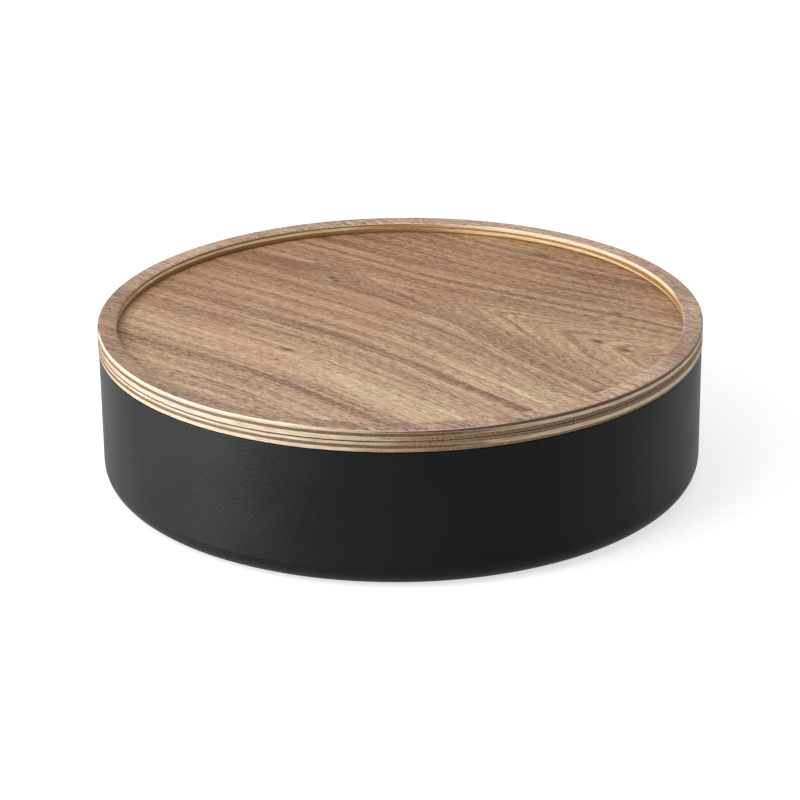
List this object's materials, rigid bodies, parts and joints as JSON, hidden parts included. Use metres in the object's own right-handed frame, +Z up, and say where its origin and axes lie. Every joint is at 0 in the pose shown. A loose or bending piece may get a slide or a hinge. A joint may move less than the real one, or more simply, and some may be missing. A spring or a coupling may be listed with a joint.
{
  "type": "round storage box",
  "caption": "Low round tub with rounded base edge and a lift-off plywood lid faced in walnut; the lid's top is a shallow tray, its plug carries a seal ring.",
  "frame": {"origin": "centre of the tub's standing face", "axes": "+Z up along the box's axis, +X to the right in the picture's view, +Y away from the viewer"},
  "size_m": [0.23, 0.23, 0.0615],
  "materials": {
    "black_moulding": "matt, very finely textured",
    "walnut_veneer": "oiled, open grain",
    "birch_ply": "sanded, long grain along the veneer's",
    "birch_cross_ply": "sanded, grain across the veneer's",
    "seal_silicone": "matt"
  },
  "bodies": {
    "tub": {"tub": "black_moulding"},
    "seal": {"lid_seal": "seal_silicone"},
    "lid": {"plug_face_veneer": "walnut_veneer", "plug_bottom_ply": "birch_ply", "plug_core_ply": "birch_cross_ply", "plug_top_ply": "birch_ply", "spacer_bottom_ply": "birch_ply", "spacer_core_ply": "birch_cross_ply", "spacer_top_ply": "birch_ply", "panel_bottom_ply": "birch_ply", "panel_core_ply": "birch_cross_ply", "panel_top_ply": "birch_ply", "panel_face_veneer": "walnut_veneer", "rim_bottom_ply": "birch_ply", "rim_core_ply": "birch_cross_ply", "rim_top_ply": "birch_ply", "rim_face_veneer": "walnut_veneer"}
  },
  "joints": [
    {"name": "lid_lift", "type": "slide", "parent": "tub", "child": "seal", "axis": [0, 0, 1], "range_m": [0, 0.1]},
    {"name": "lid_turn", "type": "hinge", "parent": "seal", "child": "lid", "pos_m": [0, 0, 0.053], "axis": [0, 0, 1], "continuous": true}
  ]
}
